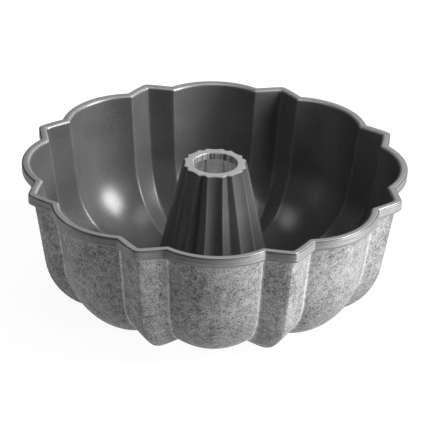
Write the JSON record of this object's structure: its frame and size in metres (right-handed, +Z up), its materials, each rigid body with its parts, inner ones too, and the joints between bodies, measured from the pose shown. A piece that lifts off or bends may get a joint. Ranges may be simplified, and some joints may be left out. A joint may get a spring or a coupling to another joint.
{
  "type": "bundt pan",
  "caption": "Deep fluted ring cake pan in cast aluminium: round lobes and pointed ribs alternate around a conical centre tube, with a flat rim band and dark non-stick inside.",
  "frame": {"origin": "on the pan's vertical axis, level with the surface that its ribs stand on", "axes": "+Z up out of the open pan along the tube's axis; -Y towards the middle of one round lobe"},
  "size_m": [0.2628, 0.2628, 0.0999],
  "materials": {
    "cast_aluminium": "as-cast, mottled and slightly grainy, with a smoother rim band",
    "nonstick_film": "satin dark grey non-stick polymer coating"
  },
  "bodies": {
    "root": {"pan_casting": "cast_aluminium", "nonstick_coating": "nonstick_film"}
  },
  "joints": []
}
